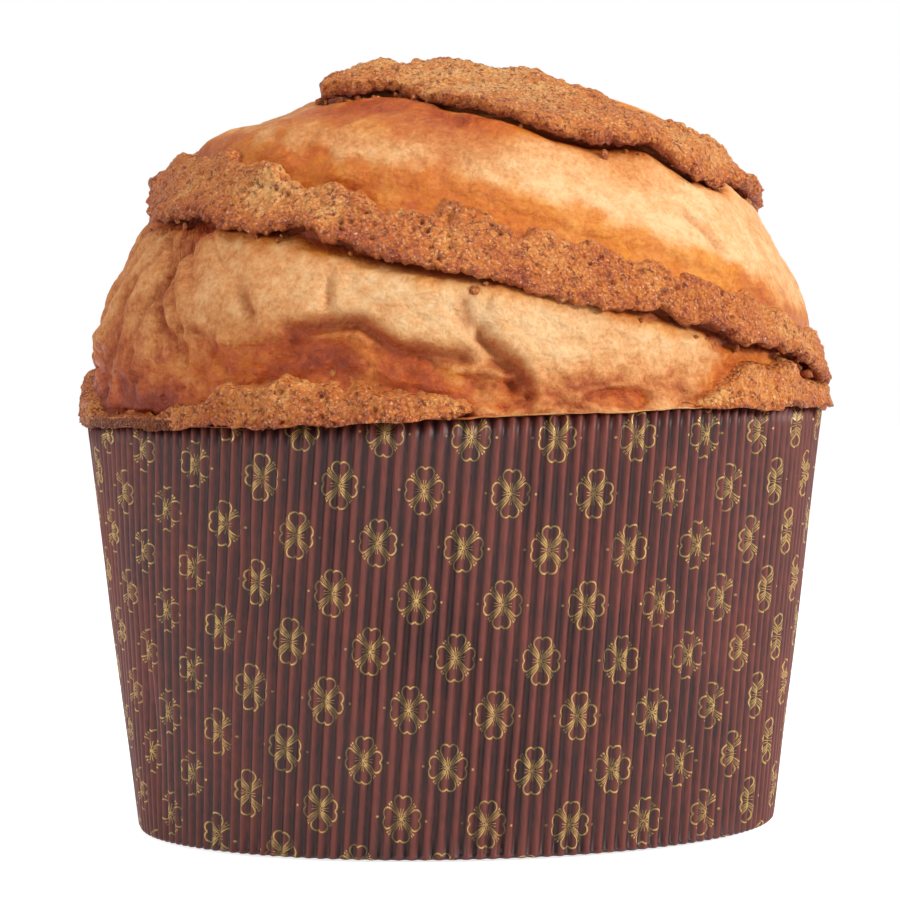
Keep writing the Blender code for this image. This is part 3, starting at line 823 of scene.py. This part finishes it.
def makeCase():
    print("fluted paper case")
    slope, ratio, rimDistance, turn = flatFan()
    hem = case["baseRadius"] - case["corner"] - case["hemInner"]
    half = math.radians(180 * ratio)
    extra = math.radians(case["overlap"] * ratio)
    reach = rimDistance * math.sin(half + extra)
    rows = case["wallRows"] + case["turnRows"] + case["hemRows"]
    piece = addPrimitive(
        "paperCase", bpy.ops.mesh.primitive_grid_add, size=1.0, y_subdivisions=rows,
        x_subdivisions=int(2 * reach / case["flutePitch"] * case["columnsPerFlute"]),
    )
    flat = pointsOf(piece)
    row = np.round((0.5 - flat[:, 1]) * rows)
    stops = (0, case["wallRows"], case["wallRows"] + case["turnRows"], rows)
    travel = np.interp(row, stops, (0, slope, slope + turn, slope + turn + hem))
    flatX = flat[:, 0] * 2 * reach
    flatY = np.sqrt((rimDistance - travel) ** 2 - flatX ** 2)
    movePoints(piece, np.stack([flatX, flatY, flatX * 0], axis=1))

    def cutSides():
        for angle, sign in ((half + extra, 1), (half, -1)):
            bpy.ops.mesh.select_all(action="SELECT")
            bpy.ops.mesh.bisect(
                plane_co=(0, 0, 0), plane_no=(sign * math.cos(angle), -math.sin(angle), 0),
                clear_outer=True, use_fill=False, threshold=0.00001,
            )

    inEditMode(piece, cutSides)
    sheet = pointsOf(piece)
    # the pattern follows the paper: its map holds the flat sheet in metres, ten to one
    layer = piece.data.uv_layers[0]
    layer.name = "sheet"
    corners = np.zeros(len(piece.data.loops), np.int32)
    piece.data.loops.foreach_get("vertex_index", corners)
    flatMap = sheet[corners][:, :2] * 10 - np.array([0, rimDistance * 10])
    layer.data.foreach_set("uv", flatMap.astype(np.float32).ravel())
    movePoints(piece, rollUp(sheet[:, 0], sheet[:, 1]))
    if facesIn(piece):
        inEditMode(piece, flipFaces)
    thicken = piece.modifiers.new("paper", "SOLIDIFY")
    thicken.thickness = case["paper"]
    thicken.offset = -1
    bpy.ops.object.modifier_apply(modifier="paper")
    smoothAll(piece)
    return piece


def facesIn(piece):
    # true where the first wall face points at the axis
    face = piece.data.polygons[len(piece.data.polygons) // 2]
    return face.normal.x * face.center.x + face.normal.y * face.center.y < 0


crumbs = {
    "count": 130,
    "smallest": 0.0004,
    "largest": 0.0011,
    "seed": 12,
    "scatter": 1.3,         # degrees below the edge
    # the grain colour: almost no painted pit shade, some painted underside shade, then toast
    "grain": (0.9, 0.25, 0.65),
}


def makeCrumbs():
    print("loose crumbs")
    lots = np.random.default_rng(crumbs["seed"])
    made = []
    for index in range(crumbs["count"]):
        name = ("capCrust", "bandCrust")[index % 2]
        table = np.array(arms[name])
        azimuth = lots.uniform(table[0, 0] + 6, table[-1, 0] - 6)
        lower = np.interp(azimuth, table[:, 0], table[:, 2])
        elevation = max(lower - abs(lots.normal(0, crumbs["scatter"])) - 0.4, -1.5)
        size = crumbs["smallest"] + (crumbs["largest"] - crumbs["smallest"]) * lots.random() ** 2.2
        place = onDome(np.array([azimuth]), np.array([elevation]), np.array([size * 0.2]))[0]
        place[2] += rimFollow(azimuth, elevation)
        crumb = addPrimitive(
            "crumb", bpy.ops.mesh.primitive_ico_sphere_add, subdivisions=2, radius=size,
        )
        ball = pointsOf(crumb)
        ball *= 1 + 0.55 * softNoise(ball + place * 7, size * 0.9, index)[:, None]
        ball *= lots.uniform(0.7, 1.15, 3)
        movePoints(crumb, ball + place)
        made.append(crumb)
    bpy.ops.object.select_all(action="DESELECT")
    for crumb in made:
        crumb.select_set(True)
    bpy.context.view_layer.objects.active = made[0]
    bpy.ops.object.join()
    piece = bpy.context.object
    piece.name = "looseCrumbs"
    piece.data.name = "looseCrumbs"
    storeColour(piece, "grain", crumbs["grain"])
    smoothAll(piece)
    return piece


class Graph:
    # a short way to wire nodes: every call adds one node and gives its output
    def __init__(self, name):
        self.material = bpy.data.materials.new(name)
        self.material.use_nodes = True
        self.tree = self.material.node_tree
        self.shader = self.tree.nodes["Principled BSDF"]

    def put(self, socket, value):
        if isinstance(value, bpy.types.NodeSocket):
            self.tree.links.new(value, socket)
        else:
            socket.default_value = value

    def math(self, operation, *values, clamp=False):
        node = self.tree.nodes.new("ShaderNodeMath")
        node.operation = operation
        node.use_clamp = clamp
        for index, value in enumerate(values):
            self.put(node.inputs[index], value)
        return node.outputs[0]

    def add(self, first, *others, clamp=False):
        for index, other in enumerate(others):
            first = self.math("ADD", first, other, clamp=clamp and index == len(others) - 1)
        return first

    def times(self, first, second, clamp=False):
        return self.math("MULTIPLY", first, second, clamp=clamp)

    def minus(self, first, second, clamp=False):
        return self.math("SUBTRACT", first, second, clamp=clamp)

    def swing(self, value, gain, middle=0.5):
        # how far the value is from its middle, made larger or smaller
        return self.times(self.minus(value, middle), gain)

    def mix(self, share, first, second):
        # a colour is a node's output or a paint chip
        node = self.tree.nodes.new("ShaderNodeMix")
        node.data_type = "RGBA"
        self.put(node.inputs[0], share)
        for index, value in ((6, first), (7, second)):
            self.put(node.inputs[index], (*srgb(*value), 1) if isinstance(value, tuple) else value)
        return node.outputs[2]

    def objectPlace(self):
        return self.tree.nodes.new("ShaderNodeTexCoord").outputs["Object"]

    def noise(self, place, scale, detail=3.0, roughness=0.55, distortion=0.0):
        node = self.tree.nodes.new("ShaderNodeTexNoise")
        self.put(node.inputs["Vector"], place)
        settings = {"Scale": scale, "Detail": detail, "Roughness": roughness, "Distortion": distortion}
        for socket, value in settings.items():
            node.inputs[socket].default_value = value
        return node.outputs["Fac"]

    def grain(self, place, scale):
        node = self.tree.nodes.new("ShaderNodeTexVoronoi")
        self.put(node.inputs["Vector"], place)
        node.inputs["Scale"].default_value = scale
        return node.outputs["Distance"]

    def stretched(self, place, factors):
        node = self.tree.nodes.new("ShaderNodeMapping")
        self.put(node.inputs["Vector"], place)
        node.inputs["Scale"].default_value = factors
        return node.outputs[0]

    def channels(self, attribute):
        node = self.tree.nodes.new("ShaderNodeAttribute")
        node.attribute_name = attribute
        split = self.tree.nodes.new("ShaderNodeSeparateColor")
        self.tree.links.new(node.outputs["Color"], split.inputs[0])
        return split.outputs[0], split.outputs[1], split.outputs[2]

    def ramp(self, value, stops):
        node = self.tree.nodes.new("ShaderNodeValToRGB")
        self.put(node.inputs[0], value)
        elements = node.color_ramp.elements
        while len(elements) < len(stops):
            elements.new(0.5)
        for element, (place, colour) in zip(elements, stops):
            element.position = place
            element.color = (*srgb(*colour), 1)
        return node.outputs[0]

    def bump(self, height, distance, strength):
        node = self.tree.nodes.new("ShaderNodeBump")
        self.put(node.inputs["Height"], height)
        node.inputs["Distance"].default_value = distance
        node.inputs["Strength"].default_value = strength
        return node.outputs[0]

    def finish(self, **sockets):
        for name, value in sockets.items():
            self.put(self.shader.inputs[name.replace("_", " ")], value)
        return self.material


skinLook = {
    # noise: scale, detail, roughness, distortion
    "patch": (70.0, 4.0, 0.6, 0.0),
    "mottle": (900.0, 4.0, 0.75, 0.0),
    "freckle": (330.0, 3.0, 0.65, 0.6),
    "pleats": (520.0, 3.0, 0.6, 0.3),
    "ripple": (200.0, 2.0, 0.5, 0.2),
    # how much each of them browns the skin, and how high it stands in the relief; the ripple browns less where
    # it stands higher, which paints shade into its valleys
    "browning": {"patch": 0.50, "mottle": 0.78, "ripple": -0.35, "freckle": 0.50},
    "height": {"mottle": 0.85, "freckle": 0.8, "pleats": 2.34, "ripple": 2.6},
    "dry": ((0.0, (246, 200, 146)), (0.22, (236, 174, 114)), (0.45, (214, 138, 76)),
            (0.70, (182, 94, 46)), (1.0, (124, 48, 22))),
    "syrup": ((0.0, (234, 154, 50)), (0.3, (212, 116, 24)), (0.62, (190, 84, 26)), (1.0, (142, 52, 22))),
    "shadow": (140, 52, 24),
    "relief": (0.00075, 0.95),
}


def skinFinish():
    g = Graph("bakedSkin")
    place = g.objectPlace()
    brown, glaze, dark = g.channels("bakeGlazeShade")
    fanX, fanY, leftSide = g.channels("fold")
    fan = g.tree.nodes.new("ShaderNodeCombineXYZ")
    g.put(fan.inputs[0], fanX)
    g.put(fan.inputs[1], fanY)
    noise = {name: g.noise(place, *skinLook[name]) for name in ("patch", "mottle", "freckle")}
    noise["ripple"] = g.noise(g.stretched(place, (1.0, 1.0, 1.6)), *skinLook["ripple"])
    noise["pleats"] = g.times(leftSide, g.noise(fan.outputs[0], *skinLook["pleats"]))

    swings = [g.swing(noise[name], gain) for name, gain in skinLook["browning"].items()]
    level = g.add(brown, *swings, clamp=True)
    wet = g.times(glaze, g.add(0.35, g.times(noise["patch"], 1.25)), clamp=True)
    colour = g.mix(wet, g.ramp(level, skinLook["dry"]), g.ramp(level, skinLook["syrup"]))
    # painted shade under the arms and in the creases, in the shadow colour
    colour = g.mix(g.times(dark, 0.90, clamp=True), colour, skinLook["shadow"])
    height = g.add(*(g.times(noise[name], gain) for name, gain in skinLook["height"].items()))
    return g.finish(
        Base_Color=colour, Roughness=g.minus(0.60, g.times(wet, 0.28)),
        Normal=g.bump(height, *skinLook["relief"]), Specular_IOR_Level=0.34,
    )


crustLook = {
    # noise: scale, detail, roughness
    "fine": (1300.0, 4.0, 0.75),
    "patch": (110.0, 4.0, 0.65),
    "sparkle": (1700.0, 2.0, 0.5),
    "speckScale": 1150.0,
    "poreScale": 520.0,
    "baked": ((0.0, (244, 180, 106)), (0.20, (230, 142, 62)), (0.45, (208, 110, 38)),
              (0.72, (168, 70, 24)), (1.0, (104, 36, 14))),
    # painted glint colour, then painted shade in pores and on the underside
    "paintedGlint": (255, 224, 186),
    "paintedPoreShade": (120, 44, 18),
    "paintedUndersideShade": (140, 50, 22),
    "relief": (0.00080, 0.9),
}


def crustFinish():
    g = Graph("bakedTopping")
    place = g.objectPlace()
    openShare, under, toast = g.channels("grain")
    speck = g.grain(place, crustLook["speckScale"])
    coarse = g.grain(place, crustLook["poreScale"])
    fine, patch, sparkle = (g.noise(place, *crustLook[name]) for name in ("fine", "patch", "sparkle"))
    swings = (g.swing(patch, 0.9), 0.10, g.swing(fine, 1.15), g.swing(speck, 0.42, 0.38))
    level = g.add(g.times(toast, 0.42), *swings, clamp=True)
    # painted shade in the pits and in dark pore spots
    paintedPoreShade = g.times(g.math("GREATER_THAN", coarse, 0.62), g.math("GREATER_THAN", fine, 0.52))
    deep = g.math("MAXIMUM", g.times(g.minus(1.0, openShare, clamp=True), 0.9), g.times(paintedPoreShade, 0.8))
    # painted glints: pale specks mixed into the colour
    paintedGlint = g.times(g.minus(sparkle, 0.60), 7.0, clamp=True)
    colour = g.mix(g.times(paintedGlint, 0.75), g.ramp(level, crustLook["baked"]), crustLook["paintedGlint"])
    colour = g.mix(deep, colour, crustLook["paintedPoreShade"])
    # painted shade on the underside of the lip and back
    colour = g.mix(g.times(under, 0.86, clamp=True), colour, crustLook["paintedUndersideShade"])
    height = g.minus(g.times(fine, 1.2), speck)
    return g.finish(
        Base_Color=colour, Roughness=g.add(0.16, g.times(fine, 0.42)),
        Normal=g.bump(height, *crustLook["relief"]), Specular_IOR_Level=0.5,
    )


printing = {
    "column": 0.0184,       # flowers repeat this far across, in metres of flat paper
    "row": 0.0119,
    "line": 0.14,           # half width of the outline, in mm
    "shiftX": 0.75,
    "shiftY": -6.4,
    "heightShare": 0.80,    # petals up and down are longer than the ones across
    # one petal, in mm out along it and off its middle line: its lobe, then the lobe's radius
    "lobe": (3.05, 0.85, 1.02),
    "lobeCut": (0.81, 0.59),
    # dots: across, up, size; bars: from, to, half width
    "dots": ((0, 0, 0.36), (5.3, 0, 0.26)),
    "bars": ((0.75, 0.34, 2.44, 1.68, 0.12), (0.25, 0.2, 2.5, 2.28, 0.07), (0.4, 0.02, 1.9, 0.30, 0.06),
             (2.65, 2.3, 2.95, 2.6, 0.14)),
    "gold": (200, 168, 98),
}
# crest and hollow colours paint the flute crests lighter and the hollows darker, as painted light and shade
paperLook = {"hollow": (44, 17, 17), "crest": (136, 64, 52), "relief": (0.00010, 0.6)}


def printedInk(g, x, y):
    # a lattice of small flowers with four heart petals, from mirrored copies of one quarter
    halfColumn, row = printing["column"] * 500, printing["row"] * 1000
    foldX = g.math("PINGPONG", g.add(x, printing["shiftX"]), halfColumn)
    foldY = g.math("PINGPONG", g.add(y, printing["shiftY"]), row)
    other = g.math("GREATER_THAN", foldY, row / 2)
    px = g.math("ABSOLUTE", g.minus(foldX, g.times(other, halfColumn)))
    py = g.math("ABSOLUTE", g.minus(foldY, g.times(other, row)))
    sy = g.times(py, printing["heightShare"])
    out, off = g.math("MAXIMUM", px, sy), g.math("MINIMUM", px, sy)

    def distance(ax, ay):
        return g.math("SQRT", g.add(g.times(ax, ax), g.times(ay, ay)))

    def dot(x0, y0, size):
        return g.math("LESS_THAN", distance(g.minus(px, x0), g.minus(py, y0)), size)

    def bar(x0, y0, x1, y1, wide):
        length = math.hypot(x1 - x0, y1 - y0)
        dx, dy = (x1 - x0) / length, (y1 - y0) / length
        ax, ay = g.minus(out, x0), g.minus(off, y0)
        run = g.add(g.times(ax, dx), g.times(ay, dy))
        aside = g.math("ABSOLUTE", g.minus(g.times(ax, dy), g.times(ay, dx)))
        within = g.times(g.math("GREATER_THAN", run, 0.0), g.math("LESS_THAN", run, length))
        return g.times(within, g.math("LESS_THAN", aside, wide))

    lobeOut, lobeOff, lobeRadius = printing["lobe"]
    lobeX, lobeY = g.minus(out, lobeOut), g.minus(off, lobeOff)
    cutX, cutY = printing["lobeCut"]
    outer = g.math("GREATER_THAN", g.add(g.times(lobeX, cutX), g.times(lobeY, cutY)), 0.0)
    ring = g.math("ABSOLUTE", g.minus(distance(lobeX, lobeY), lobeRadius))
    ink = g.times(outer, g.math("LESS_THAN", ring, printing["line"]))
    for mark in [dot(*place) for place in printing["dots"]] + [bar(*place) for place in printing["bars"]]:
        ink = g.math("MAXIMUM", ink, mark)
    return ink


def paperFinish():
    g = Graph("flutedPaper")
    sheetMap = g.tree.nodes.new("ShaderNodeUVMap")
    sheetMap.uv_map = "sheet"
    split = g.tree.nodes.new("ShaderNodeSeparateXYZ")
    g.tree.links.new(sheetMap.outputs[0], split.inputs[0])
    place = g.objectPlace()
    # flat paper in millimetres
    x, y = (g.times(split.outputs[index], 100.0) for index in (0, 1))
    phase = g.times(x, 2 * math.pi / (case["flutePitch"] * 1000))
    crest = g.add(0.5, g.times(g.math("COSINE", phase), 0.5))
    # the gold is worn in patches and fainter in the hollows
    ink = g.times(printedInk(g, x, y), g.add(0.30, g.times(crest, 0.75)))
    worn = g.noise(place, 900.0, 2.0, 0.6)
    ink = g.times(ink, g.add(-0.15, g.times(worn, 2.0)), clamp=True)
    fibre = g.noise(g.stretched(place, (1.0, 1.0, 0.12)), 1500.0, 3.0, 0.6)
    blotch = g.noise(place, 60.0, 3.0, 0.6)
    # painted light on the flute crests and painted shade in the hollows, with the paper's own fibre and
    # blotches
    tone = g.add(g.times(crest, 0.62), g.swing(fibre, 0.8), g.swing(blotch, 0.7), clamp=True)
    colour = g.mix(ink, g.mix(tone, paperLook["hollow"], paperLook["crest"]), printing["gold"])
    return g.finish(
        Base_Color=colour, Roughness=g.minus(0.48, g.times(ink, 0.10)), Metallic=g.times(ink, 0.35),
        Normal=g.bump(fibre, *paperLook["relief"]), Specular_IOR_Level=0.40,
    )


discLook = {"dark": (52, 30, 27), "pale": (96, 58, 50), "relief": (0.0001, 0.6)}


def discFinish():
    g = Graph("discPaper")
    place = g.objectPlace()
    fibre = g.noise(place, 700.0, 4.0, 0.65)
    cloud = g.noise(place, 45.0, 3.0, 0.6)
    tone = g.add(g.times(fibre, 0.6), g.times(cloud, 0.5), clamp=True)
    colour = g.mix(tone, discLook["dark"], discLook["pale"])
    return g.finish(Base_Color=colour, Roughness=0.62, Normal=g.bump(fibre, *discLook["relief"]))


def dress(piece, material):
    piece.data.materials.clear()
    piece.data.materials.append(material)


pieces = {
    "crust": [makeSkin(), makeCrust("capCrust"), makeCrust("bandCrust"), makeCrust("rimCrust"), makeCrumbs()],
    "case_paper": [makeCase()],
}
loafSkin, toppings, paperCase = pieces["crust"][0], pieces["crust"][1:], pieces["case_paper"][0]
dress(loafSkin, skinFinish())
toppingMaterial = crustFinish()
for piece in toppings:
    dress(piece, toppingMaterial)
dress(paperCase, paperFinish())
discMaterial = discFinish()
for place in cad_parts["case_disc"].material_slots:
    place.material = discMaterial
for slotName, made in pieces.items():
    for piece in made:
        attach(piece, "root")
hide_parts("bread")
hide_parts("case_wall")
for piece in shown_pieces():
    print("  ", piece.name, sum(len(face.vertices) - 2 for face in piece.data.polygons), "triangles")


room = {
    "floorSize": 12.0,
    "floorDrop": 0.0002,
    "floorColour": (0.72, 0.72, 0.72),
    "floorLift": 0.80,      # how much the floor is lightened as the camera sees it
    "worldStrength": 0.42,
}


def makeRoom():
    print("room")
    floor = addPrimitive("floor", bpy.ops.mesh.primitive_plane_add, size=room["floorSize"])
    points = pointsOf(floor)
    points[:, 2] = -room["floorDrop"]
    movePoints(floor, points)
    g = Graph("paleFloor")
    g.finish(Base_Color=(*room["floorColour"], 1), Roughness=0.9, Specular_IOR_Level=0.0)
    light = g.tree.nodes.new("ShaderNodeEmission")
    light.inputs["Color"].default_value = (1, 1, 1, 1)
    path = g.tree.nodes.new("ShaderNodeLightPath")
    seen = g.math("MAXIMUM", path.outputs["Is Camera Ray"], path.outputs["Is Glossy Ray"])
    seen = g.math("MAXIMUM", seen, path.outputs["Is Transmission Ray"])
    g.put(light.inputs["Strength"], g.times(seen, room["floorLift"]))
    add = g.tree.nodes.new("ShaderNodeAddShader")
    g.tree.links.new(g.shader.outputs[0], add.inputs[0])
    g.tree.links.new(light.outputs[0], add.inputs[1])
    g.tree.links.new(add.outputs[0], g.tree.nodes["Material Output"].inputs["Surface"])
    dress(floor, g.material)

    world = bpy.data.worlds.new("studio")
    scene.world = world
    world.use_nodes = True
    tree = world.node_tree
    backdrop = tree.nodes["Background"]
    backdrop.inputs["Color"].default_value = (1, 1, 1, 1)
    path = tree.nodes.new("ShaderNodeLightPath")
    seen = tree.nodes.new("ShaderNodeMath")
    seen.operation = "MAXIMUM"
    tree.links.new(path.outputs["Is Camera Ray"], seen.inputs[0])
    tree.links.new(path.outputs["Is Transmission Ray"], seen.inputs[1])
    level = tree.nodes.new("ShaderNodeMapRange")
    level.inputs["To Min"].default_value = room["worldStrength"]
    level.inputs["To Max"].default_value = 1.0
    tree.links.new(seen.outputs[0], level.inputs["Value"])
    tree.links.new(level.outputs[0], backdrop.inputs["Strength"])


lamps = {
    # name: place, size, watts, each aimed at the middle of the loaf
    "keyRight": ((1.10, -0.70, 0.60), 0.36, 13.6),
    "fillLeft": ((-1.05, -0.60, 0.45), 0.60, 4.6),
    "topSoft": ((0.20, -0.10, 1.20), 0.60, 4.8),
}
lampAim = (0, 0, 0.10)


def makeLamps():
    print("lamps")
    aim = np.array(lampAim)
    for name, (place, size, watts) in lamps.items():
        data = bpy.data.lights.new(name, "AREA")
        data.shape = "DISK"
        data.size = size
        data.energy = watts
        lamp = bpy.data.objects.new(name, data)
        scene.collection.objects.link(lamp)
        back = np.array(place) - aim
        back = back / np.linalg.norm(back)
        side = np.cross((0, 0, 1), back)
        side = side / np.linalg.norm(side)
        up = np.cross(back, side)
        lamp.matrix_world = Matrix((
            (side[0], up[0], back[0], place[0]), (side[1], up[1], back[1], place[1]),
            (side[2], up[2], back[2], place[2]), (0, 0, 0, 1),
        ))


view = {"place": (-0.00116, -0.850, 0.10255), "pitchDown": 1.1, "roll": -1.06, "lens": 146.5, "sensor": 36.0}


def makeCamera():
    print("camera")
    data = bpy.data.cameras.new("camera")
    data.lens = view["lens"]
    data.sensor_width = view["sensor"]
    camera = bpy.data.objects.new("camera", data)
    scene.collection.objects.link(camera)
    tilt = Matrix.Rotation(math.radians(90 - view["pitchDown"]), 4, "X")
    roll = Matrix.Rotation(math.radians(view["roll"]), 4, "Z")
    camera.matrix_world = Matrix.Translation(view["place"]) @ tilt @ roll
    scene.camera = camera


makeRoom()
makeLamps()
makeCamera()
scene.view_settings.view_transform = "Standard"
